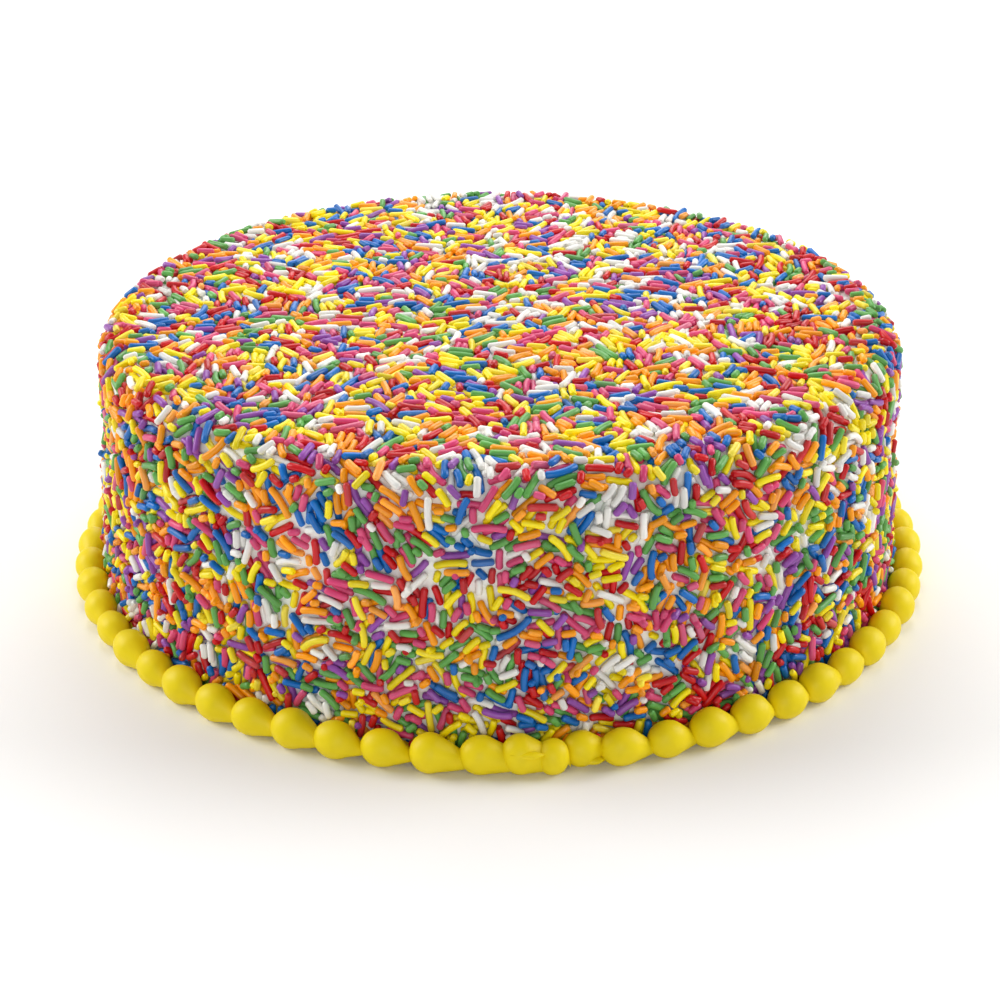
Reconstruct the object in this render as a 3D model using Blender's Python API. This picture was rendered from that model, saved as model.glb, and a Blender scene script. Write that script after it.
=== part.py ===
# A round layer cake, iced all over and pressed full of rainbow sprinkles, with a border
# of piped icing beads round its foot. Metres, +Z up, the origin in the middle of the flat
# base, and the front of the cake towards -Y.

import math

import bmesh
import bpy
import numpy as np
from mathutils import Matrix, Vector

MM = 0.001

# Iced body: the wall leans out a little towards the foot, and the rim is rounded.
FOOT_RADIUS = 105.4 * MM
TOP_RADIUS = 102.6 * MM
HEIGHT = 69.6 * MM
RIM_ROUNDING = 6.5 * MM
RIM_STEPS = 3
BODY_SIDES = 64
TOP_RING_RADIUS = 55 * MM
ICING_COLOUR = (0.82, 0.80, 0.74)
ICING_ROUGHNESS = 0.6

# Sprinkles: thin rods of set sugar, about half sunk in the icing.
SPRINKLE_COUNT = 250
SPRINKLE_RADIUS = 0.88 * MM
SHORTEST_SPRINKLE = 3.8 * MM
USUAL_SPRINKLE = 6.6 * MM
LONGEST_SPRINKLE = 8.2 * MM
SPRINKLE_SIDES = 5
SPRINKLE_TIP = 0.4 * MM
SPRINKLE_LIFT = 0.25 * MM
SPRINKLE_TILT = math.radians(6)
SPRINKLE_ROUGHNESS = 0.4
SPRINKLE_CREASE = math.radians(30)
SPREAD_RIM_STEPS = 12
SPREAD_STEPS = 40
SPRINKLE_SEED = 7
SPRINKLE_COLOURS = {
    "red": (0.60, 0.02, 0.03),
    "pink": (0.70, 0.09, 0.20),
    "orange": (0.90, 0.32, 0.02),
    "yellow": (0.90, 0.75, 0.02),
    "green": (0.08, 0.36, 0.10),
    "blue": (0.01, 0.15, 0.56),
    "purple": (0.25, 0.08, 0.38),
    "white": (0.86, 0.82, 0.74),
}

# Piped border: each bead has a round head and a tail that runs on to the next head.
BEAD_COUNT = 59
BORDER_RADIUS = 110.4 * MM
BEAD_DEPTH = 8.6 * MM
BEAD_HEIGHT = 9.3 * MM
BEAD_SINK = 0.5 * MM
BEAD_FILL = 0.44
BEAD_SIDES = 8
BEAD_SIZE_SPREAD = 0.04
BEAD_SEED = 3
HEAD_SWINGS = [math.radians(swing) for swing in (30, 60, 90)]
SHOULDER_SHARE = 0.87
TAIL_SHARE = 0.58
TAIL_WRAP = 0.6
PIECE_GAP = 0.3 * MM
BEAD_CREASE = math.radians(50)
BEAD_COLOUR = (0.72, 0.52, 0.02)
BEAD_ROUGHNESS = 0.55

# Where the piping starts and ends, just right of the front, the beads crowd together.
SEAM_START = math.radians(-92.1)
SEAM_STEPS = [math.radians(step) for step in (4.7, 3.8, 3.7, 5.2)]
SEAM_SIZES = (1.0, 0.97, 0.92, 0.95)
BACK_STRETCH = 0.055
STEP_SPREAD = 0.03

GOLDEN_ANGLE = math.pi * (3 - math.sqrt(5))


def clear_scene():
    for old in list(bpy.data.objects):
        bpy.data.objects.remove(old, do_unlink=True)


def sugar_material(name, colour, roughness):
    material = bpy.data.materials.new(name)
    material.use_nodes = True
    shader = material.node_tree.nodes["Principled BSDF"]
    shader.inputs["Base Color"].default_value = (*colour, 1.0)
    shader.inputs["Roughness"].default_value = roughness
    shader.inputs["Metallic"].default_value = 0.0
    return material


def add_object(name, bm, material, collection):
    mesh = bpy.data.meshes.new(name)
    bm.to_mesh(mesh)
    bm.free()
    mesh.materials.append(material)
    added = bpy.data.objects.new(name, mesh)
    collection.objects.link(added)
    return added


def join_rings(bm, lower, upper):
    """Walls between two closed rings of as many points, which run the same way round."""
    count = len(lower)
    for side in range(count):
        after = (side + 1) % count
        bm.faces.new((lower[side], lower[after], upper[after], upper[side]))


def close_to_point(bm, ring, point):
    """A fan of triangles from a ring up to a point beyond it."""
    count = len(ring)
    for side in range(count):
        bm.faces.new((ring[side], ring[(side + 1) % count], point))


# The iced body

def wall_radius(height):
    return FOOT_RADIUS + (TOP_RADIUS - FOOT_RADIUS) * height / HEIGHT


def rim_outline(steps):
    """Points (radius, height) of the rounded rim, from the wall up to the flat top."""
    start_height = HEIGHT - RIM_ROUNDING
    centre_radius = wall_radius(start_height) - RIM_ROUNDING
    turns = [0.5 * math.pi * step / steps for step in range(steps + 1)]
    return [(centre_radius + RIM_ROUNDING * math.cos(turn),
             start_height + RIM_ROUNDING * math.sin(turn)) for turn in turns]


def body_ring(bm, radius, height):
    turns = [2 * math.pi * side / BODY_SIDES for side in range(BODY_SIDES)]
    return [bm.verts.new((radius * math.cos(turn), radius * math.sin(turn), height))
            for turn in turns]


def iced_body(material, collection):
    outline = [(FOOT_RADIUS, 0.0)] + rim_outline(RIM_STEPS) + [(TOP_RING_RADIUS, HEIGHT)]
    bm = bmesh.new()
    rings = [body_ring(bm, radius, height) for radius, height in outline]
    for lower, upper in zip(rings, rings[1:]):
        join_rings(bm, lower, upper)
    bm.faces.new(reversed(rings[0]))
    bm.faces.new(rings[-1])
    return add_object("cake", bm, material, collection)


# Sprinkles on the iced body

def surface_spots(count):
    """Places spread evenly over wall, rim and top, each with its outward normal."""
    clear_height = BEAD_HEIGHT + PIECE_GAP
    lowest = (wall_radius(clear_height), clear_height)
    corners = [lowest] + rim_outline(SPREAD_RIM_STEPS) + [(0.0, HEIGHT)]
    pieces = [np.linspace(start, end, SPREAD_STEPS, endpoint=False)
              for start, end in zip(corners, corners[1:])]
    outline = np.vstack(pieces + [[corners[-1]]])
    strip_areas = np.hypot(*np.diff(outline, axis=0).T) * (outline[1:, 0] + outline[:-1, 0])
    covered = np.concatenate([[0.0], np.cumsum(strip_areas)])
    for index in range(count):
        wanted = covered[-1] * (index + 0.5) / count
        radius = float(np.interp(wanted, covered, outline[:, 0]))
        height = float(np.interp(wanted, covered, outline[:, 1]))
        strip = int(np.searchsorted(covered, wanted))
        run, rise = outline[strip] - outline[strip - 1]
        turn = index * GOLDEN_ANGLE
        outward = Vector((math.cos(turn), math.sin(turn), 0.0))
        normal = (outward * float(rise) - Vector((0.0, 0.0, float(run)))).normalized()
        yield outward * radius + Vector((0.0, 0.0, height)), normal


def sprinkle_place(spot, normal, length, rng):
    """The matrix that lays a rod, which runs along Z, on the icing at a spot."""
    side = normal.orthogonal().normalized()
    lie = Matrix.Rotation(rng.uniform(0.0, 2 * math.pi), 3, normal) @ side
    tilt = Matrix.Rotation(rng.normal(0.0, SPRINKLE_TILT), 3, normal.cross(lie))
    lie = (tilt @ lie).normalized()
    centre = spot + normal * SPRINKLE_LIFT
    reach_down = abs(lie.z) * length / 2 + SPRINKLE_RADIUS + PIECE_GAP
    centre.z = max(centre.z, BEAD_HEIGHT + reach_down)
    across = normal.cross(lie).normalized()
    turn = Matrix((across, lie.cross(across), lie)).transposed()
    return Matrix.Translation(centre) @ turn.to_4x4()


def sprinkle(name, length, place, material, collection):
    """A rod with low pointed ends, along Z, set in its place with one edge upwards."""
    bm = bmesh.new()
    turns = [math.pi * (0.5 + 2 * side / SPRINKLE_SIDES) for side in range(SPRINKLE_SIDES)]
    edge = length / 2 - SPRINKLE_TIP
    rings = [[bm.verts.new((SPRINKLE_RADIUS * math.cos(turn), SPRINKLE_RADIUS * math.sin(turn), z))
              for turn in turns] for z in (-edge, edge)]
    join_rings(bm, *rings)
    close_to_point(bm, rings[1], bm.verts.new((0.0, 0.0, length / 2)))
    close_to_point(bm, rings[0][::-1], bm.verts.new((0.0, 0.0, -length / 2)))
    bm.transform(place)
    return add_object(name, bm, material, collection)


def fuse(body, collection):
    """Joins every object of a collection to the body in one union, and removes them."""
    union = body.modifiers.new("Sprinkles", "BOOLEAN")
    union.operation = "UNION"
    union.operand_type = "COLLECTION"
    union.collection = collection
    union.solver = "EXACT"
    union.material_mode = "TRANSFER"
    evaluated = body.evaluated_get(bpy.context.evaluated_depsgraph_get())
    fused = bpy.data.meshes.new_from_object(evaluated)
    body.modifiers.remove(union)
    body.data = fused
    for operand in list(collection.objects):
        bpy.data.objects.remove(operand, do_unlink=True)
    bpy.data.collections.remove(collection)


def sprinkled_cake(collection):
    icing = sugar_material("white icing", ICING_COLOUR, ICING_ROUGHNESS)
    sugars = [sugar_material(name + " sprinkle", colour, SPRINKLE_ROUGHNESS)
              for name, colour in SPRINKLE_COLOURS.items()]
    cake = iced_body(icing, collection)
    loose = bpy.data.collections.new("sprinkles")
    collection.children.link(loose)
    rng = np.random.default_rng(SPRINKLE_SEED)
    for index, (spot, normal) in enumerate(surface_spots(SPRINKLE_COUNT)):
        length = rng.triangular(SHORTEST_SPRINKLE, USUAL_SPRINKLE, LONGEST_SPRINKLE)
        place = sprinkle_place(spot, normal, length, rng)
        sugar = sugars[rng.integers(len(sugars))]
        sprinkle(f"sprinkle_{index}", length, place, sugar, loose)
    fuse(cake, loose)
    cake.data.shade_smooth()
    cake.data.set_sharp_from_angle(angle=SPRINKLE_CREASE)
    return cake


# Piped border

def bead_turns(rng):
    """The azimuth of each bead's head: the seam's crowded ones, then round the back."""
    plain = BEAD_COUNT - len(SEAM_STEPS)
    share = np.cos(2 * math.pi * (np.arange(plain) + 0.5) / plain)
    steps = (1 - BACK_STRETCH * share) * (1 + rng.uniform(-STEP_SPREAD, STEP_SPREAD, plain))
    steps *= (2 * math.pi - sum(SEAM_STEPS)) / steps.sum()
    starts = np.concatenate([[0.0], np.cumsum(SEAM_STEPS + list(steps))])
    return SEAM_START + starts


def bead_sizes(turns, rng):
    """Half the length, half the depth and half the height of each head."""
    steps = np.diff(turns) * BORDER_RADIUS
    sizes = []
    for index in range(BEAD_COUNT):
        scale = 1 + rng.uniform(-BEAD_SIZE_SPREAD, BEAD_SIZE_SPREAD)
        if index < len(SEAM_SIZES):
            scale = SEAM_SIZES[index]
        room = min(steps[index], (steps[index] + steps[index - 1]) / 2)
        sizes.append((BEAD_FILL * room, scale * BEAD_DEPTH / 2, scale * BEAD_HEIGHT / 2))
    return sizes


def bead(name, turn, size, to_next, next_size, material, collection):
    """A round head, flat where it rests, with a tail shaped to the back of the next head."""
    half_length, half_depth, half_height = size
    next_length, next_depth, next_height = next_size

    def bent(along, out, height):
        angle = turn + along / BORDER_RADIUS
        radius = BORDER_RADIUS + out
        return (radius * math.cos(angle), radius * math.sin(angle), max(height, 0.0))

    def next_face(out, height):
        """How far along the next head's back is at a place of the section."""
        rise = (max(height, 0.0) - next_height + BEAD_SINK) / next_height
        left = 1 - (out / next_depth) ** 2 - rise ** 2
        return to_next - next_length * math.sqrt(max(left, TAIL_WRAP ** 2)) - PIECE_GAP

    def section(share):
        """Points of a section that is this share of the head's, standing on the base."""
        middle = half_height * share - BEAD_SINK
        turns = [2 * math.pi * (side + 0.5) / BEAD_SIDES for side in range(BEAD_SIDES)]
        return [(-half_depth * share * math.cos(angle),
                 middle + half_height * share * math.sin(angle)) for angle in turns]

    bm = bmesh.new()
    middle = half_height - BEAD_SINK
    rings = []
    for swing in HEAD_SWINGS:
        along = -half_length * math.cos(swing)
        share = math.sin(swing)
        rings.append([bm.verts.new(bent(along, out * share, middle + (height - middle) * share))
                      for out, height in section(1.0)])
    tail = section(TAIL_SHARE)
    shoulder = section(SHOULDER_SHARE)
    halfway = [0.5 * next_face(out, height) for out, height in tail]
    rings.append([bm.verts.new(bent(along, out, height))
                  for along, (out, height) in zip(halfway, shoulder)])
    rings.append([bm.verts.new(bent(next_face(out, height), out, height)) for out, height in tail])
    for back, front in zip(rings, rings[1:]):
        join_rings(bm, back, front)
    close_to_point(bm, rings[0][::-1], bm.verts.new(bent(-half_length, 0.0, middle)))
    tail_middle = half_height * TAIL_SHARE - BEAD_SINK
    close_to_point(bm, rings[-1], bm.verts.new(bent(next_face(0.0, tail_middle), 0.0, tail_middle)))
    piped = add_object(name, bm, material, collection)
    piped.data.shade_smooth()
    piped.data.set_sharp_from_angle(angle=BEAD_CREASE)
    return piped


def piped_border(collection):
    icing = sugar_material("yellow icing", BEAD_COLOUR, BEAD_ROUGHNESS)
    rng = np.random.default_rng(BEAD_SEED)
    turns = bead_turns(rng)
    sizes = bead_sizes(turns, rng)
    for index in range(BEAD_COUNT):
        to_next = (turns[index + 1] - turns[index]) * BORDER_RADIUS
        bead(f"bead_{index + 1:02d}", turns[index], sizes[index], to_next,
             sizes[(index + 1) % BEAD_COUNT], icing, collection)


def main():
    clear_scene()
    collection = bpy.context.scene.collection
    sprinkled_cake(collection)
    piped_border(collection)


main()
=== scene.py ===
import math

import bpy
import numpy as np
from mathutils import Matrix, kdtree


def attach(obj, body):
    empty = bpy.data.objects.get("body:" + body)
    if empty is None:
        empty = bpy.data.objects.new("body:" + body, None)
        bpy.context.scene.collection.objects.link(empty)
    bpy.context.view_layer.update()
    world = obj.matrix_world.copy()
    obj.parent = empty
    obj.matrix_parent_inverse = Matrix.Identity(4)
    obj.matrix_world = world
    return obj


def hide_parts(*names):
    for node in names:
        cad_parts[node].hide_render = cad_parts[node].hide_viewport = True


mm = 0.001

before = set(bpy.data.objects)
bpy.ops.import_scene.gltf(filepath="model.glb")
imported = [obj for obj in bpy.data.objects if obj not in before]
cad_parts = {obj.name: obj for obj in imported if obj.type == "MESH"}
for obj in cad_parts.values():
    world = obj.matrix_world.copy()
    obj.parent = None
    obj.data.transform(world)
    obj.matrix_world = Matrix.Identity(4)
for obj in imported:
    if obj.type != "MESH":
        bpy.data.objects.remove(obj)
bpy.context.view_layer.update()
print("frame loaded:", len(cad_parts), "nodes")


# sRGB hex to the linear colour that a shader takes
def linear(hexColour):
    shares = [int(hexColour[i:i + 2], 16) / 255 for i in (1, 3, 5)]
    return tuple(c / 12.92 if c <= 0.04045 else ((c + 0.055) / 1.055) ** 2.4 for c in shares) + (1.0,)


# Adds a node with its settings; an input's value is a plain one, or the output that feeds it
def addNode(tree, kind, inputs=None, **settings):
    node = tree.nodes.new(kind)
    for name, value in settings.items():
        setattr(node, name, value)
    for name, value in (inputs or {}).items():
        if isinstance(value, bpy.types.NodeSocket):
            tree.links.new(value, node.inputs[name])
        else:
            node.inputs[name].default_value = value
    return node


def newMaterial(name, **values):
    material = bpy.data.materials.new(name)
    material.use_nodes = True
    tree = material.node_tree
    tree.nodes.clear()
    shader = addNode(tree, "ShaderNodeBsdfPrincipled", values)
    addNode(tree, "ShaderNodeOutputMaterial", {"Surface": shader.outputs["BSDF"]})
    return material, tree, shader


# A geometry tree with named inputs, such as {"Sides": "Int"}
def newTree(name, ports):
    tree = bpy.data.node_groups.new(name, "GeometryNodeTree")
    tree.interface.new_socket(name="Geometry", in_out="INPUT", socket_type="NodeSocketGeometry")
    for port, kind in ports.items():
        tree.interface.new_socket(name=port, in_out="INPUT", socket_type="NodeSocket" + kind)
    tree.interface.new_socket(name="Geometry", in_out="OUTPUT", socket_type="NodeSocketGeometry")
    return tree, tree.nodes.new("NodeGroupInput").outputs


# Runs a tree on a source mesh and keeps the plain mesh that comes out, as a new object
def grow(name, source, tree, values):
    holder = bpy.data.objects.new(name + "Source", source)
    bpy.context.scene.collection.objects.link(holder)
    modifier = holder.modifiers.new("grow", "NODES")
    modifier.node_group = tree
    sockets = {item.name: item.identifier for item in tree.interface.items_tree if item.in_out == "INPUT"}
    for port, value in values.items():
        modifier[sockets[port]] = value
    mesh = bpy.data.meshes.new_from_object(holder.evaluated_get(bpy.context.evaluated_depsgraph_get()))
    mesh.name = name
    holder.modifiers.remove(modifier)
    bpy.data.objects.remove(holder, do_unlink=True)
    return addPiece(name, mesh)


def addPiece(name, mesh):
    piece = bpy.data.objects.new(name, mesh)
    bpy.context.scene.collection.objects.link(piece)
    return piece


# A mesh of points, with edges if given, that carries named values for every point
def pointMesh(name, points, edges=(), **values):
    mesh = bpy.data.meshes.new(name)
    mesh.from_pydata(np.asarray(points).tolist(), [tuple(edge) for edge in edges], [])
    for key, value in values.items():
        value = np.asarray(value, np.float32)
        isVector = value.ndim == 2
        layer = mesh.attributes.new(key, "FLOAT_VECTOR" if isVector else "FLOAT", "POINT")
        layer.data.foreach_set("vector" if isVector else "value", value.ravel())
    return mesh


# Camera, where the photograph's stood: found by fitting the cake's outline
viewpoint = {
    "right": 0.3 * mm, "back": 504.8 * mm, "up": 262.7 * mm, "pitch": 26.18,
    "lens": 74.1, "sensor": 36, "near": 0.01, "far": 50,
}

camera = bpy.data.objects.new("camera", bpy.data.cameras.new("camera"))
bpy.context.scene.collection.objects.link(camera)
camera.location = (viewpoint["right"], -viewpoint["back"], viewpoint["up"])
camera.rotation_euler = (math.radians(90 - viewpoint["pitch"]), 0, 0)
camera.data.lens = viewpoint["lens"]
camera.data.sensor_width = viewpoint["sensor"]
camera.data.clip_start = viewpoint["near"]
camera.data.clip_end = viewpoint["far"]
bpy.context.scene.camera = camera
bpy.context.scene.view_settings.view_transform = "Standard"


# Studio: a pale floor and broad lights, one above, one low behind, one on each side and a faint one in front
studio = {
    "floorSize": 6.0, "floorColour": "#f4f3f1", "floorRoughness": 0.9, "floorGloss": 0.2,
    "worldColour": "#ffffff", "worldStrength": 0.21, "aimHeight": 0.04,
    "lights": [  # name, place, size, power
        ("overhead", (0.0, 0.55, 1.0), 1.0, 6.6),
        ("back", (0.0, 1.7, 0.75), 1.3, 9.0),
        ("left", (-1.2, 0.2, 0.7), 0.9, 13.8),
        ("right", (1.2, 0.2, 0.7), 0.9, 13.8),
        ("front", (0.0, -1.4, 0.5), 0.9, 6.2),
    ],
}


def buildStudio():
    half = studio["floorSize"] / 2
    mesh = bpy.data.meshes.new("floor")
    mesh.from_pydata([(-half, -half, 0), (half, -half, 0), (half, half, 0), (-half, half, 0)], [], [(0, 1, 2, 3)])
    # Matte seamless paper, with hardly any gloss
    paper = newMaterial("seamlessPaper", **{
        "Base Color": linear(studio["floorColour"]), "Roughness": studio["floorRoughness"],
        "Specular IOR Level": studio["floorGloss"]})[0]
    mesh.materials.append(paper)
    addPiece("floor", mesh)
    world = bpy.data.worlds.new("studioWorld")
    world.use_nodes = True
    sky = world.node_tree.nodes["Background"]
    sky.inputs["Color"].default_value = linear(studio["worldColour"])
    sky.inputs["Strength"].default_value = studio["worldStrength"]
    bpy.context.scene.world = world
    for name, place, size, power in studio["lights"]:
        data = bpy.data.lights.new(name, "AREA")
        data.shape = "DISK"
        data.size = size
        data.energy = power
        light = addPiece(name, data)
        light.location = place
        toCake = -light.location
        toCake.z += studio["aimHeight"]
        light.rotation_euler = toCake.to_track_quat("-Z", "Y").to_euler()


buildStudio()
print("camera and studio set")


# Iced body: one outline, turned round the middle; the wall leans out towards the foot
icing = {
    "footRadius": 104.2 * mm, "topRadius": 101.3 * mm, "height": 68.4 * mm, "rimRounding": 6.2 * mm,
    "sides": 240, "wallRows": 26, "rimRows": 10, "topRows": 26,
    "swell": 0.3 * mm, "swellSize": 9 * mm, "swellWaves": 14, "swellSeed": 5, "swellStart": 5 * mm,
    "colour": "#f4f5f0", "roughness": 0.5, "grain": 2.5 * mm, "grainDepth": 0.25 * mm,
}

rimStart = icing["height"] - icing["rimRounding"]


def wallRadius(z):
    return icing["footRadius"] + (icing["topRadius"] - icing["footRadius"]) * z / icing["height"]


flatRadius = wallRadius(rimStart) - icing["rimRounding"]
rimEnd = rimStart + icing["rimRounding"] * math.pi / 2
swellRng = np.random.default_rng(icing["swellSeed"])
swellWaves = [(swellRng.uniform(-1, 1, 3) / icing["swellSize"], swellRng.uniform(0, 2 * math.pi))
              for wave in range(icing["swellWaves"])]


# Slow hand-made unevenness of the icing, the same wherever it is asked for
def swell(x, y, z):
    total = sum(np.sin(way[0] * x + way[1] * y + way[2] * z + phase) for way, phase in swellWaves)
    return icing["swell"] * total / math.sqrt(len(swellWaves))


# The smooth outline, by the way that it goes up from the foot, over the rim and in to the middle:
# radius and height there, and how far the way out has turned upwards
def outline(way):
    turn = np.clip((way - rimStart) / icing["rimRounding"], 0, math.pi / 2)
    radius = np.where(way < rimStart, wallRadius(way), flatRadius + icing["rimRounding"] * np.cos(turn))
    height = np.minimum(way, rimStart) + icing["rimRounding"] * np.sin(turn)
    return radius - np.maximum(way - rimEnd, 0), height, turn


# How far the uneven icing stands out from the outline
def swellAt(angle, way):
    radius, height = outline(way)[:2]
    return swell(radius * np.cos(angle), radius * np.sin(angle), height)


# How high the icing stands over a spot of the top
def icingHeight(x, y):
    over = np.clip((np.hypot(x, y) - flatRadius) / icing["rimRounding"], 0, 1)
    height = rimStart + icing["rimRounding"] * np.sqrt(1 - over ** 2)
    return height + swell(x, y, height)


# The rings of the body; its foot stays round, and the unevenness starts above it
def turnedBody():
    angle = np.arange(icing["sides"]) * 2 * math.pi / icing["sides"]
    ways = np.concatenate([np.linspace(0, rimStart, icing["wallRows"]),
                           np.linspace(rimStart, rimEnd, icing["rimRows"]),
                           np.linspace(rimEnd, rimEnd + flatRadius, icing["topRows"])])
    rings = []
    for way in np.unique(ways)[:-1]:
        radius, height, turn = outline(way)
        uneven = swellAt(angle, way) * min(1, way / icing["swellStart"])
        radius, height = radius + uneven * math.cos(turn), height + uneven * math.sin(turn)
        rings.append(np.column_stack([radius * np.cos(angle), radius * np.sin(angle), height * np.ones(len(angle))]))
    sides = len(angle)
    verts = np.vstack(rings + [[[0, 0, 0]], [[0, 0, float(icingHeight(0.0, 0.0))]]])
    foot, crown, last = len(verts) - 2, len(verts) - 1, (len(rings) - 1) * sides
    faces = []
    for i in range(sides):
        j = (i + 1) % sides
        faces += [(row + i, row + j, row + j + sides, row + i + sides) for row in range(0, last, sides)]
        faces += [(foot, j, i), (last + i, last + j, crown)]
    mesh = bpy.data.meshes.new("icing")
    mesh.from_pydata(verts.tolist(), [], faces)
    mesh.shade_smooth()
    return addPiece("icing", mesh)


# Fine unevenness of a surface, with bumps of the size of a grain
def dimple(tree, shader, grain, depth):
    place = addNode(tree, "ShaderNodeTexCoord").outputs["Object"]
    noise = addNode(tree, "ShaderNodeTexNoise", {"Vector": place, "Scale": 1 / grain, "Detail": 3.0})
    bump = addNode(tree, "ShaderNodeBump", {"Height": noise.outputs[0], "Distance": depth, "Strength": 1.0})
    tree.links.new(bump.outputs[0], shader.inputs["Normal"])


# Buttercream, smoothed with a scraper or piped: soft and matte, with faint drag marks and small pits
def buttercream(name, look):
    material, tree, shader = newMaterial(name, **{
        "Base Color": linear(look["colour"]), "Roughness": look["roughness"],
        "IOR": 1.46, "Specular IOR Level": 0.35})  # butter and sugar, dulled by its air bubbles
    dimple(tree, shader, look["grain"], look["grainDepth"])
    return material


body = turnedBody()
body.data.materials.append(buttercream("whiteButtercream", icing))
print("icing turned:", len(body.data.polygons), "faces")


# Sprinkles: sugar rods dropped one by one on a bed, which remembers how low the next one may lie
sprinkles = {
    "seed": 11,
    # each rod
    "radius": 0.88 * mm, "radiusSpread": 0.04, "shortest": 2.1 * mm, "usual": 3.4 * mm, "longest": 9.6 * mm,
    "roundEnd": 0.6 * mm, "tip": 0.42 * mm, "tipWidth": 0.62, "sides": 7, "bend": 0.9 * mm, "bendLength": 8 * mm,
    # how they are dropped
    "cell": 0.25 * mm, "shuffle": 1.5 * mm, "tries": 30, "keep": 3, "rolls": (0.9 * mm, 0.4 * mm),
    "feelers": 9, "steepest": 0.3, "fillRounds": 5, "fillLongest": 5.2 * mm, "leastCells": 5,
    # on the wall
    "wallCount": 7500, "wallFill": 900, "wallSink": 0.42 * mm, "wallPressed": 0.85, "wallHighest": 2.4 * mm,
    "wallFoot": 1.2 * mm, "footHigher": 0.8 * mm, "footBand": 30 * mm, "rimBand": 10 * mm,
    "bareness": 0.95 * mm, "bareSize": 6 * mm, "bareWaves": 10, "bareLean": 0.7, "bareScale": 3, "barest": 1.5,
    # stuck in it end on
    "stuckCount": 380, "stuckPlace": (3 * mm, 8 * mm, 60 * mm), "stuckHalf": (0.4 * mm, 1.2 * mm),
    "stuckOut": 0.8 * mm, "stuckTilt": (0.9, 3.0),
    # on top
    "topCount": 6000, "topFill": 400, "topSink": 0.5 * mm, "topPressed": 0.6, "topHighest": 2.3 * mm,
    "topReach": 97 * mm,
    # finish
    "roughness": 0.36, "ior": 1.45, "grain": 1.1 * mm, "grainDepth": 0.07 * mm,
    "shadeSpread": 0.085, "shades": (0.7, 1.3), "fullDepth": 1.03, "paleSpread": 0.025, "palest": 0.45,
    "matching": 0.22,
    "colours": {  # colour, share on the wall, share on top; the top's shares, with more white and yellow and less green and purple, are partly a real difference in mix and partly painted sheen and yellow bounce light
        "red": ("#c2171e", 0.125, 0.105), "pink": ("#d34a76", 0.095, 0.12), "orange": ("#f79c12", 0.143, 0.13),
        "yellow": ("#f2dd1a", 0.178, 0.195), "green": ("#5fa24f", 0.128, 0.06), "blue": ("#0868b8", 0.11, 0.115),
        "purple": ("#8f4ba3", 0.08, 0.055), "white": ("#e6e4de", 0.11, 0.155),
    },
}
dropRng = np.random.default_rng(sprinkles["seed"])
ringRadius = wallRadius(0)  # the wall is unrolled at this radius


# A flat map of a surface: u across, v up, with the ground's height in each cell and the cells open to sprinkles
def newBed(lowU, sizeU, lowV, sizeV, ground, isOpen, sink, wraps):
    cell = sprinkles["cell"]
    cols, rows = round(sizeU / cell), round(sizeV / cell)
    u = lowU + (np.arange(cols) + 0.5) * sizeU / cols
    v = lowV + (np.arange(rows) + 0.5) * sizeV / rows
    base = ground(u[None, :], v[:, None]) * np.ones((rows, cols))
    return {"u": u, "v": v, "cellU": sizeU / cols, "cellV": sizeV / rows, "wraps": wraps, "ground": base,
            "open": isOpen(u[None, :], v[:, None]) * np.ones((rows, cols), bool),
            "rest": base + sprinkles["radius"] - sink, "skin": base.copy(),
            "lowest": lowV, "owner": np.full((rows, cols), -1), "rods": []}


def cellAt(bed, u, v):
    col = np.floor((u - bed["u"][0]) / bed["cellU"] + 0.5).astype(int)
    row = np.clip(np.floor((v - bed["v"][0]) / bed["cellV"] + 0.5).astype(int), 0, len(bed["v"]) - 1)
    return row, col % len(bed["u"]) if bed["wraps"] else np.clip(col, 0, len(bed["u"]) - 1)


# Lets rods of one length settle where they are tried: height and tilt of each, and those of the ground under it
def settle(bed, u, v, yaw, half):
    s = np.linspace(-half, half, sprinkles["feelers"])
    row, col = cellAt(bed, u[:, None] + np.cos(yaw)[:, None] * s, v[:, None] + np.sin(yaw)[:, None] * s)
    floor, ground = bed["rest"][row, col], bed["ground"][row, col]
    middle = len(s) // 2
    left, right, leftS, rightS = floor[:, :middle], floor[:, middle + 1:], s[:middle], s[middle + 1:]
    span = rightS[None, :] - leftS[:, None]
    across = (left[:, :, None] * rightS[None, None, :] - right[:, None, :] * leftS[None, :, None]) / span
    across = across.reshape(len(u), -1)
    pick = across.argmax(1)
    level = across.max(1)
    tilt = ((right[:, None, :] - left[:, :, None]) / span).reshape(len(u), -1)[np.arange(len(u)), pick]
    propped = floor[:, middle] > level
    least = ((right - floor[:, middle:middle + 1]) / rightS).max(1)
    most = ((left - floor[:, middle:middle + 1]) / leftS).min(1)
    tilt = np.where(propped, np.where(abs(least) < abs(most), least, most), tilt)
    groundTilt = (ground[:, -1] - ground[:, 0]) / (2 * half)
    tilt = groundTilt + np.clip(tilt - groundTilt, -sprinkles["steepest"], sprinkles["steepest"])
    return np.where(propped, floor[:, middle], level), tilt, ground[:, middle], groundTilt


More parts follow.
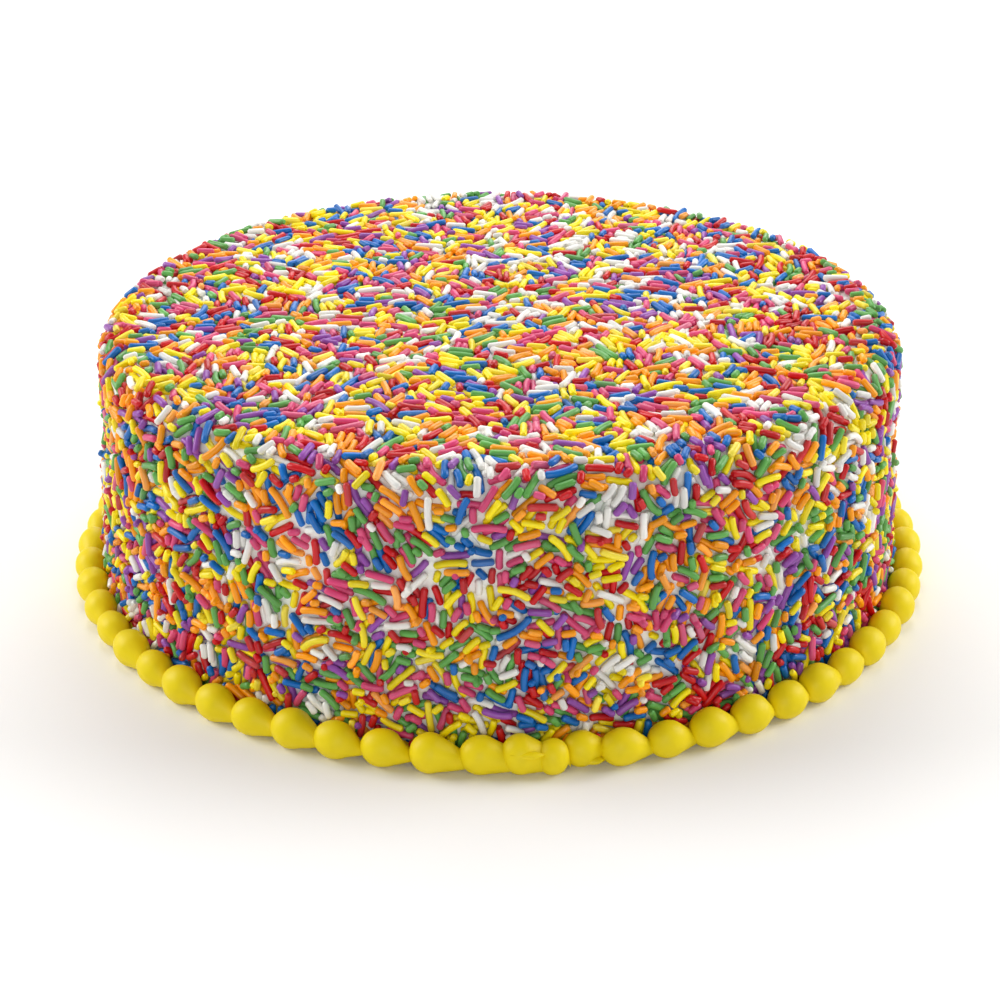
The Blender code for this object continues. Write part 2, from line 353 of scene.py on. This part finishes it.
# Raises the bed over a rod, and notes the cells where that rod is now on top
def cover(bed, u, v, yaw, half, height, tilt, number):
    thick = 2 * sprinkles["radius"]
    reachU, reachV = abs(math.cos(yaw)) * half + thick, abs(math.sin(yaw)) * half + thick
    firstCol = math.floor((u - reachU - bed["u"][0]) / bed["cellU"])
    lastCol = math.ceil((u + reachU - bed["u"][0]) / bed["cellU"])
    firstRow = max(0, math.floor((v - reachV - bed["v"][0]) / bed["cellV"]))
    lastRow = min(len(bed["v"]) - 1, math.ceil((v + reachV - bed["v"][0]) / bed["cellV"]))
    if not bed["wraps"]:
        firstCol, lastCol = max(0, firstCol), min(len(bed["u"]) - 1, lastCol)
    if firstRow > lastRow or firstCol > lastCol:
        return
    cols, rows = np.arange(firstCol, lastCol + 1), np.arange(firstRow, lastRow + 1)
    x = (bed["u"][0] + cols * bed["cellU"] - u)[None, :]
    y = (bed["v"][rows] - v)[:, None]
    along = np.clip(x * math.cos(yaw) + y * math.sin(yaw), -half, half)
    off = (x - along * math.cos(yaw)) ** 2 + (y - along * math.sin(yaw)) ** 2
    axis = height + tilt * along
    patch = np.ix_(rows, cols % len(bed["u"]))
    rest = axis + np.sqrt(np.clip(thick ** 2 - off, 0, None))
    bed["rest"][patch] = np.where(off < thick ** 2, np.maximum(bed["rest"][patch], rest), bed["rest"][patch])
    skin = axis + np.sqrt(np.clip((thick / 2) ** 2 - off, 0, None))
    onTop = (off < (thick / 2) ** 2) & (skin > bed["skin"][patch])
    bed["skin"][patch] = np.where(onTop, skin, bed["skin"][patch])
    bed["owner"][patch] = np.where(onTop, number, bed["owner"][patch])


# Lets a rod roll from the spots it is tried on to the lowest place near them; one that would lie too high falls off
def dropRod(bed, length, spots, highest, push):
    tries, keep, half = sprinkles["tries"], sprinkles["keep"], length / 2 - sprinkles["roundEnd"]
    pick = dropRng.integers(len(spots[0]), size=tries)
    u, v = bed["u"][spots[1][pick]], bed["v"][spots[0][pick]]
    yaw = dropRng.uniform(0, math.pi, tries)
    for roll in sprinkles["rolls"]:
        low = (np.subtract(*settle(bed, u, v, yaw, half)[::2]) + push(u, v)).argsort()[:keep]
        again = np.concatenate([low, dropRng.choice(low, tries - keep)])
        moved = (np.arange(tries) >= keep) * dropRng.normal(0, 1, (3, tries)) * [[roll], [roll], [roll / half]]
        u, v, yaw = u[again] + moved[0], v[again] + moved[1], yaw[again] + moved[2]
        v = np.maximum(v, bed["lowest"] + half * abs(np.sin(yaw)))
    height, tilt, ground, groundTilt = settle(bed, u, v, yaw, half)
    score = height - ground + push(u, v)
    best = score.argmin()
    if score[best] < highest:
        cover(bed, u[best], v[best], yaw[best], half, height[best], tilt[best], len(bed["rods"]))
        bed["rods"].append((u[best], v[best], yaw[best], half, height[best], tilt[best],
                            ground[best], groundTilt[best]))


# Drops rods everywhere, the long ones mostly first, and then rounds of short ones where the icing still shows
def dropRods(bed, count, fill, highest, push):
    lengths = dropRng.triangular(sprinkles["shortest"], sprinkles["usual"], sprinkles["longest"], count)
    order = np.argsort(-lengths + dropRng.normal(0, sprinkles["shuffle"], count))
    everywhere = np.nonzero(bed["open"])
    for length in lengths[order]:
        dropRod(bed, length, everywhere, highest, push)
    for fillRound in range(sprinkles["fillRounds"]):
        bare = np.nonzero(bed["open"] & (bed["owner"] == -1))
        for length in dropRng.triangular(*[sprinkles["shortest"]] * 2, sprinkles["fillLongest"], fill):
            dropRod(bed, length, bare, highest, push)


bareWaves = [(dropRng.normal(0, 1, 2) / sprinkles["bareSize"], dropRng.uniform(0, 2 * math.pi))
             for wave in range(sprinkles["bareWaves"])]


# Where few sprinkles stuck to the wall: in patches halfway up
def bareness(u, v):
    angle = u / ringRadius
    x, y = ringRadius * np.cos(angle), ringRadius * np.sin(angle)
    lean = sprinkles["bareLean"]
    patches = sum(np.sin(way[0] * (x + y) + way[1] * v + way[0] * lean * (x - y) + phase) for way, phase in bareWaves)
    patches = np.clip(patches / sprinkles["bareScale"], 0, sprinkles["barest"])
    below = np.clip((rimStart - v) / sprinkles["rimBand"], 0, 1)
    low = np.clip(1 - v / sprinkles["footBand"], 0, 1)
    return sprinkles["bareness"] * patches * below * (1 - low) - sprinkles["footHigher"] * low


# The bed runs from the foot to the end of the rim
def dropOnWall():
    bed = newBed(0.0, 2 * math.pi * ringRadius, 0.0, rimEnd, lambda u, v: swellAt(u / ringRadius, v),
                 lambda u, v: v > sprinkles["wallFoot"], sprinkles["wallSink"], True)
    bed["lowest"] = sprinkles["wallFoot"]
    dropRods(bed, sprinkles["wallCount"], sprinkles["wallFill"], sprinkles["wallHighest"], bareness)
    return bed


# A rod in space: middle, half its length as a vector, and the way out of the icing
def wallRod(rod):
    u, v, yaw, half, height, tilt, ground, groundTilt = rod
    radius, level, turn = outline(v)
    around = np.array([math.cos(u / ringRadius), math.sin(u / ringRadius), 0.0])
    side = np.array([-around[1], around[0], 0.0])
    out = math.cos(turn) * around + math.sin(turn) * np.array([0, 0, 1.0])
    climb = math.cos(turn) * np.array([0, 0, 1.0]) - math.sin(turn) * around
    lift = ground + (height - ground) * sprinkles["wallPressed"]
    tilt = groundTilt + (tilt - groundTilt) * sprinkles["wallPressed"]
    way = math.cos(yaw) * side + math.sin(yaw) * climb + tilt * out
    way = way * (half + sprinkles["roundEnd"]) / np.linalg.norm(way)
    return around * radius + [0, 0, level] + out * lift, way, out


# Short rods that stuck in the icing end on, most of them low on the wall
def stuckRods(bed):
    rods = []
    for number in range(sprinkles["stuckCount"]):
        u, v = dropRng.uniform(0, 2 * math.pi * ringRadius), dropRng.triangular(*sprinkles["stuckPlace"])
        yaw, half = dropRng.uniform(0, 2 * math.pi), dropRng.uniform(*sprinkles["stuckHalf"])
        tilt = dropRng.uniform(*sprinkles["stuckTilt"])
        row, col = cellAt(bed, u, v)
        rise = (half + sprinkles["roundEnd"]) * tilt / math.hypot(1, tilt)
        height = bed["skin"][row, col] + sprinkles["stuckOut"] - rise
        rods.append((u, v, yaw, half, height, tilt, bed["ground"][row, col], 0.0))
    return rods


def topRod(rod):
    u, v, yaw, half, height, tilt, ground, groundTilt = rod
    height = ground + (height - ground) * sprinkles["topPressed"]
    tilt = groundTilt + (tilt - groundTilt) * sprinkles["topPressed"]
    way = np.array([math.cos(yaw), math.sin(yaw), tilt])
    way = way * (half + sprinkles["roundEnd"]) / np.linalg.norm(way)
    return np.array([u, v, height]), way, np.array([0, 0, 1.0])


def dropOnTop(wallBed):
    reach = icing["footRadius"]
    bed = newBed(-reach, 2 * reach, -reach, 2 * reach, icingHeight,
                 lambda u, v: np.hypot(u, v) < sprinkles["topReach"], sprinkles["topSink"], False)
    # The wall's rods that reach over the rim are there first, as rows of balls
    for rod in wallBed["rods"]:
        if rod[1] > rimStart:
            centre, way, out = wallRod(rod)
            for share in np.linspace(-1, 1, 7):
                ball = centre + way * share
                cover(bed, ball[0], ball[1], 0.0, 0.0, ball[2], 0.0, -2)
    dropRods(bed, sprinkles["topCount"], sprinkles["topFill"], sprinkles["topHighest"], lambda u, v: 0.0)
    return bed


# Keeps the rods that can be seen
def shownRods(bed, inSpace):
    seen = np.bincount(bed["owner"][bed["owner"] >= 0], minlength=len(bed["rods"]))
    return [inSpace(rod) for rod, cells in zip(bed["rods"], seen) if cells >= sprinkles["leastCells"]]


def sprinkleTree():
    tree, given = newTree("sugarRods", {
        "Radius": "Float", "Tip Length": "Float", "Tip Width": "Float", "Sides": "Int", "Material": "Material"})
    math1, math3 = "ShaderNodeMath", "ShaderNodeVectorMath"
    line = addNode(tree, "GeometryNodeMeshLine", {"Count": 7, "Offset": (0, 0, 0)})
    thread = addNode(tree, "GeometryNodeMeshToCurve", {"Mesh": line.outputs[0]})
    spread = addNode(tree, "GeometryNodeInstanceOnPoints", {"Points": given["Geometry"], "Instance": thread.outputs[0]})
    loose = addNode(tree, "GeometryNodeRealizeInstances", {"Geometry": spread.outputs[0]})
    # Each thread's seven points count -3 to 3: a tip at each end, a shoulder beside it and three between
    index = addNode(tree, "GeometryNodeInputIndex")
    seventh = addNode(tree, math1, {0: index.outputs[0], 1: 7.0}, operation="MODULO")
    step = addNode(tree, math1, {0: seventh.outputs[0], 1: 3.0}, operation="SUBTRACT")
    low = addNode(tree, math1, {0: step.outputs[0], 1: -2.0}, operation="MAXIMUM")
    high = addNode(tree, math1, {0: low.outputs[0], 1: 2.0}, operation="MINIMUM")
    reach = addNode(tree, math1, {0: high.outputs[0], 1: 2.0}, operation="DIVIDE")
    stepSize = addNode(tree, math1, {0: step.outputs[0]}, operation="ABSOLUTE")
    atTip = addNode(tree, math1, {0: stepSize.outputs[0], 1: 2.0}, operation="GREATER_THAN")
    lie = addNode(tree, "GeometryNodeInputNamedAttribute", {"Name": "lie"}, data_type="FLOAT_VECTOR")
    half = addNode(tree, math3, {0: lie.outputs[0]}, operation="LENGTH")
    tipShare = addNode(tree, math1, {0: given["Tip Length"], 1: half.outputs["Value"]}, operation="DIVIDE")
    inner = addNode(tree, math1, {0: 1.0, 1: atTip.outputs[0]}, operation="SUBTRACT")
    cut = addNode(tree, math1, {0: tipShare.outputs[0], 1: inner.outputs[0]}, operation="MULTIPLY")
    kept = addNode(tree, math1, {0: 1.0, 1: cut.outputs[0]}, operation="SUBTRACT")
    share = addNode(tree, math1, {0: reach.outputs[0], 1: kept.outputs[0]}, operation="MULTIPLY")
    along = addNode(tree, math3, {0: lie.outputs[0], "Scale": share.outputs[0]}, operation="SCALE")
    # A bent one bows out in the middle
    square = addNode(tree, math1, {0: share.outputs[0], 1: share.outputs[0]}, operation="MULTIPLY")
    bow = addNode(tree, math1, {0: 0.5, 1: square.outputs[0]}, operation="SUBTRACT")
    bent = addNode(tree, "GeometryNodeInputNamedAttribute", {"Name": "bent"}, data_type="FLOAT_VECTOR")
    aside = addNode(tree, math3, {0: bent.outputs[0], "Scale": bow.outputs[0]}, operation="SCALE")
    move = addNode(tree, math3, {0: along.outputs[0], 1: aside.outputs[0]}, operation="ADD")
    laid = addNode(tree, "GeometryNodeSetPosition", {"Geometry": loose.outputs[0], "Offset": move.outputs[0]})
    thinner = addNode(tree, math1, {0: 1.0, 1: given["Tip Width"]}, operation="SUBTRACT")
    thin = addNode(tree, math1, {0: thinner.outputs[0], 1: atTip.outputs[0]}, operation="MULTIPLY")
    width = addNode(tree, math1, {0: 1.0, 1: thin.outputs[0]}, operation="SUBTRACT")
    girth = addNode(tree, "GeometryNodeInputNamedAttribute", {"Name": "girth"}, data_type="FLOAT")
    scale = addNode(tree, math1, {0: width.outputs[0], 1: girth.outputs[0]}, operation="MULTIPLY")
    round1 = addNode(tree, "GeometryNodeCurvePrimitiveCircle", {
        "Resolution": given["Sides"], "Radius": given["Radius"]})
    rods = addNode(tree, "GeometryNodeCurveToMesh", {
        "Curve": laid.outputs[0], "Profile Curve": round1.outputs[0], "Scale": scale.outputs[0], "Fill Caps": True})
    smooth = addNode(tree, "GeometryNodeSetShadeSmooth", {"Geometry": rods.outputs[0], "Shade Smooth": True})
    real = addNode(tree, "GeometryNodeRealizeInstances", {"Geometry": smooth.outputs[0]})
    painted = addNode(tree, "GeometryNodeSetMaterial", {"Geometry": real.outputs[0], "Material": given["Material"]})
    addNode(tree, "NodeGroupOutput", {"Geometry": painted.outputs[0]})
    return tree


# Sugar rod with a glaze of wax: even colour that varies a little from rod to rod, a soft gloss and fine dimples
def glazedSugar(name, colour):
    material, tree, shader = newMaterial(name, **{"Roughness": sprinkles["roughness"], "IOR": sprinkles["ior"]})
    dimple(tree, shader, sprinkles["grain"], sprinkles["grainDepth"])
    shade = addNode(tree, "ShaderNodeAttribute", attribute_name="shade").outputs["Fac"]
    depth = addNode(tree, "ShaderNodeAttribute", attribute_name="depth").outputs["Fac"]
    varied = addNode(tree, "ShaderNodeHueSaturation", {"Saturation": depth, "Value": shade, "Color": linear(colour)})
    tree.links.new(varied.outputs[0], shader.inputs["Base Color"])
    return material


def buildSprinkles():
    wallBed = dropOnWall()
    print("wall sprinkles dropped")
    topBed = dropOnTop(wallBed)
    print("top sprinkles dropped")
    onWall = shownRods(wallBed, wallRod) + [wallRod(rod) for rod in stuckRods(wallBed)]
    onTop = shownRods(topBed, topRod)
    print("sprinkles kept:", len(onWall), "on the wall,", len(onTop), "on top")
    rods = onWall + onTop
    centre, lie, out = (np.array([rod[i] for rod in rods]) for i in range(3))
    across = np.cross(lie, out)
    across /= np.linalg.norm(across, axis=1)[:, None]
    bow = dropRng.uniform(-1, 1, len(rods)) * sprinkles["bend"]
    bow *= (2 * np.linalg.norm(lie, axis=1) / sprinkles["bendLength"]) ** 2
    bent = across * bow[:, None]
    girth = 1 + dropRng.uniform(-1, 1, len(rods)) * sprinkles["radiusSpread"]
    shade = np.clip(dropRng.normal(1.0, sprinkles["shadeSpread"], len(rods)), *sprinkles["shades"])
    paleness = dropRng.exponential(sprinkles["paleSpread"], len(rods)).clip(0, sprinkles["palest"])
    depth = sprinkles["fullDepth"] - paleness
    # The top's own shares make it whiter and yellower than the wall, partly as painted sheen and yellow bounce light
    wallShares, topShares = ([entry[i] for entry in sprinkles["colours"].values()] for i in (1, 2))
    count = len(sprinkles["colours"])
    kinds = np.concatenate([dropRng.choice(count, len(onWall), p=np.divide(wallShares, sum(wallShares))),
                            dropRng.choice(count, len(onTop), p=np.divide(topShares, sum(topShares)))])
    # Here and there two of one colour stay together
    nearby = kdtree.KDTree(len(rods))
    for number, spot in enumerate(centre):
        nearby.insert(spot, number)
    nearby.balance()
    for number in np.nonzero(dropRng.random(len(rods)) < sprinkles["matching"])[0]:
        kinds[number] = kinds[nearby.find_n(centre[number], 2)[1][1]]
    tree = sprinkleTree()
    pieces = []
    for kind, (colourName, (colour, wallShare, topShare)) in enumerate(sprinkles["colours"].items()):
        mine = kinds == kind
        source = pointMesh("rods", centre[mine], lie=lie[mine], bent=bent[mine], girth=girth[mine],
                           shade=shade[mine], depth=depth[mine])
        pieces.append(grow(colourName + "Sprinkles", source, tree, {
            "Radius": sprinkles["radius"], "Tip Length": sprinkles["tip"], "Tip Width": sprinkles["tipWidth"],
            "Sides": sprinkles["sides"], "Material": glazedSugar(colourName + "GlazedSugar", colour)}))
    return pieces


sprinklePieces = buildSprinkles()
for piece in sprinklePieces:
    print(piece.name, len(piece.data.polygons), "faces")


# Piped border: beads that each start on the last one's tail, anticlockwise, with a messy join in front
border = {
    "count": 59, "ringRadius": 110.4 * mm, "depth": 8.6 * mm, "height": 9.3 * mm, "sink": 0.5 * mm,
    "fill": 0.47, "sizeSpread": 0.06, "seed": 3, "stretch": 0.055, "stepSpread": 0.03,
    "start": -92.1, "joinSteps": (4.7, 3.8, 3.6, 4.9), "joinSizes": (1.0, 0.97, 0.92, 0.95),
    "joinBeads": {  # growth, half length, taper, how far it is set back, how much its tail stays up
        58: (1.05, 4.75 * mm, 0.35, -0.4 * mm, 0.3), 0: (1.0, 5.1 * mm, 0.3, 0.0, 0.2),
        1: (1.08, 4.6 * mm, 0.3, 0.0, 0.0), 2: (1.01, 3.8 * mm, 0.88, -0.7 * mm, 0.0),
        3: (0.99, 4.4 * mm, 0.5, 1.6 * mm, 0.8), 4: (1.01, 5.4 * mm, 0.52, 0.0, 0.4),
        5: (1.0, 5.0 * mm, 0.5, 0.0, 0.4),
    },
    "licks": [  # from and to in degrees from the front, how far out, height, half width
        (1.2, 5.2, 3.6 * mm, 6.3 * mm, 1.1 * mm), (9.0, 12.7, 0.9 * mm, 1.9 * mm, 1.3 * mm),
    ],
    "lickPeak": 1.6, "lickTip": 0.05 * mm, "lickTall": 0.7,
    "taper": (0.42, 0.64), "upkeep": 0.45, "tailReach": 2.0, "coneReach": 0.97, "tailTip": 0.05, "sway": 0.5 * mm,
    "headRows": 12, "tailRows": 16, "sides": 28, "unevenness": 0.2 * mm, "lumpSize": 5 * mm,
    "colour": "#ead200", "roughness": 0.5, "grain": 1.5 * mm, "grainDepth": 0.05 * mm,
}


# The same places and sizes as in the frame: its random draws come in this order
def beadRow():
    rng = np.random.default_rng(border["seed"])
    join = np.radians(border["joinSteps"])
    plain = border["count"] - len(join)
    share = np.cos(2 * math.pi * (np.arange(plain) + 0.5) / plain)
    steps = (1 - border["stretch"] * share) * (1 + rng.uniform(-border["stepSpread"], border["stepSpread"], plain))
    steps *= (2 * math.pi - join.sum()) / steps.sum()
    steps = np.concatenate([join, steps])
    turns = math.radians(border["start"]) + np.concatenate([[0.0], np.cumsum(steps)[:-1]])
    steps *= border["ringRadius"]
    beads = []
    for index in range(border["count"]):
        scale = 1 + rng.uniform(-border["sizeSpread"], border["sizeSpread"])
        if index < len(border["joinSizes"]):
            scale = border["joinSizes"][index]
        room = min(steps[index], (steps[index] + steps[index - 1]) / 2)
        beads.append((turns[index], border["fill"] * room, scale * border["depth"] / 2, scale * border["height"] / 2))
    return beads


# The middle lines of the beads, with each spot's half width, its height over the ground and its upright stretch.
# A bead is a ball that runs out into a cone, which touches it at the share of its half length called taper
def borderThreads():
    rng = np.random.default_rng(border["seed"] + 1)
    points, edges, values = [], [], {"wide": [], "rise": [], "tall": []}

    def addThread(angle, radius, width, rise, tall):
        first = len(points)
        points.extend(np.column_stack([radius * np.cos(angle), radius * np.sin(angle), 0 * angle]).tolist())
        edges.extend((first + i, first + i + 1) for i in range(len(angle) - 1))
        values["wide"] += width.tolist()
        values["rise"] += rise.tolist()
        values["tall"] += [tall] * len(angle)

    for index, (turn, halfLength, halfDepth, halfHeight) in enumerate(beadRow()):
        taper, sway = rng.uniform(*border["taper"]), rng.uniform(-1, 1) * border["sway"]
        back, upkeep = 0.0, border["upkeep"]
        if index in border["joinBeads"]:
            growth, halfLength, taper, back, upkeep = border["joinBeads"][index]
            halfDepth, halfHeight = halfDepth * growth, halfHeight * growth
        edge = math.sqrt(1 - taper ** 2)
        reach = min(border["tailReach"], border["coneReach"] / taper)
        x = np.concatenate([-np.cos(np.linspace(0.03, math.pi / 2, border["headRows"])),
                            np.linspace(0, reach, border["tailRows"] + 1)[1:]])
        width = np.where(x < taper, np.sqrt(np.clip(1 - x ** 2, 0, 1)), (1 - taper * x) / edge)
        rise = (halfHeight - border["sink"]) * np.where(x < taper, 1, upkeep + (1 - upkeep) * width / edge)
        width[-1] *= border["tailTip"]
        radius = border["ringRadius"] - back + sway * np.clip(x, 0, 2) / 2
        angle = turn + x * halfLength / border["ringRadius"]
        addThread(angle, radius, width * halfDepth, rise, halfHeight / halfDepth)
    # Licks of icing that the tube drew out
    for start, end, out, height, width in border["licks"]:
        x = np.linspace(0, 1, border["headRows"])
        angle = np.radians(-90 + start + (end - start) * x)
        width = width * np.sin(math.pi * x ** border["lickPeak"]) + border["lickTip"]
        addThread(angle, border["ringRadius"] + out, width, height + 0 * x, border["lickTall"])
    return pointMesh("beadThreads", points, edges, **values)


def borderTree():
    tree, given = newTree("pipedBeads", {
        "Sides": "Int", "Unevenness": "Float", "Lump Size": "Float", "Material": "Material"})
    math1 = "ShaderNodeMath"
    thread = addNode(tree, "GeometryNodeMeshToCurve", {"Mesh": given["Geometry"]})
    wide = addNode(tree, "GeometryNodeInputNamedAttribute", {"Name": "wide"}, data_type="FLOAT")
    upright = addNode(tree, "GeometryNodeSetCurveNormal", {"Curve": thread.outputs[0]}, mode="Z_UP")
    round1 = addNode(tree, "GeometryNodeCurvePrimitiveCircle", {"Resolution": given["Sides"], "Radius": 1.0})
    beads = addNode(tree, "GeometryNodeCurveToMesh", {
        "Curve": upright.outputs[0], "Profile Curve": round1.outputs[0], "Scale": wide.outputs[0], "Fill Caps": True})
    # Lumps of the hand: the surface moves in and out a little
    lumps = addNode(tree, "GeometryNodeInputPosition")
    turnsPerMetre = addNode(tree, math1, {0: 1.0, 1: given["Lump Size"]}, operation="DIVIDE")
    noise = addNode(tree, "ShaderNodeTexNoise", {
        "Vector": lumps.outputs[0], "Scale": turnsPerMetre.outputs[0], "Detail": 1.0})
    centred = addNode(tree, math1, {0: noise.outputs[0], 1: 0.5}, operation="SUBTRACT")
    amount = addNode(tree, math1, {0: centred.outputs[0], 1: given["Unevenness"]}, operation="MULTIPLY")
    doubled = addNode(tree, math1, {0: amount.outputs[0], 1: 2.0}, operation="MULTIPLY")
    normal = addNode(tree, "GeometryNodeInputNormal")
    push = addNode(tree, "ShaderNodeVectorMath", {0: normal.outputs[0], "Scale": doubled.outputs[0]}, operation="SCALE")
    lumpy = addNode(tree, "GeometryNodeSetPosition", {"Geometry": beads.outputs[0], "Offset": push.outputs[0]})
    # Taller than wide, and flat where a bead sits on the ground
    spot = addNode(tree, "ShaderNodeSeparateXYZ", {0: lumps.outputs[0]})
    rise = addNode(tree, "GeometryNodeInputNamedAttribute", {"Name": "rise"}, data_type="FLOAT")
    tall = addNode(tree, "GeometryNodeInputNamedAttribute", {"Name": "tall"}, data_type="FLOAT")
    stretched = addNode(tree, math1, {
        0: spot.outputs[2], 1: tall.outputs[0], 2: rise.outputs[0]}, operation="MULTIPLY_ADD")
    seated = addNode(tree, math1, {0: stretched.outputs[0], 1: 0.0}, operation="MAXIMUM")
    place = addNode(tree, "ShaderNodeCombineXYZ", {0: spot.outputs[0], 1: spot.outputs[1], 2: seated.outputs[0]})
    sat = addNode(tree, "GeometryNodeSetPosition", {"Geometry": lumpy.outputs[0], "Position": place.outputs[0]})
    smooth = addNode(tree, "GeometryNodeSetShadeSmooth", {"Geometry": sat.outputs[0], "Shade Smooth": True})
    real = addNode(tree, "GeometryNodeRealizeInstances", {"Geometry": smooth.outputs[0]})
    painted = addNode(tree, "GeometryNodeSetMaterial", {"Geometry": real.outputs[0], "Material": given["Material"]})
    addNode(tree, "NodeGroupOutput", {"Geometry": painted.outputs[0]})
    return tree


beads = grow("beadBorder", borderThreads(), borderTree(), {
    "Sides": border["sides"], "Unevenness": border["unevenness"], "Lump Size": border["lumpSize"],
    "Material": buttercream("yellowButtercream", border)})
print("border piped:", len(beads.data.polygons), "faces")


# What each piece stands for
for piece in [body] + sprinklePieces:
    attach(piece, "root")
    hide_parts("cake")
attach(beads, "root")
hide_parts(*["bead_%02d" % (index + 1) for index in range(border["count"])])
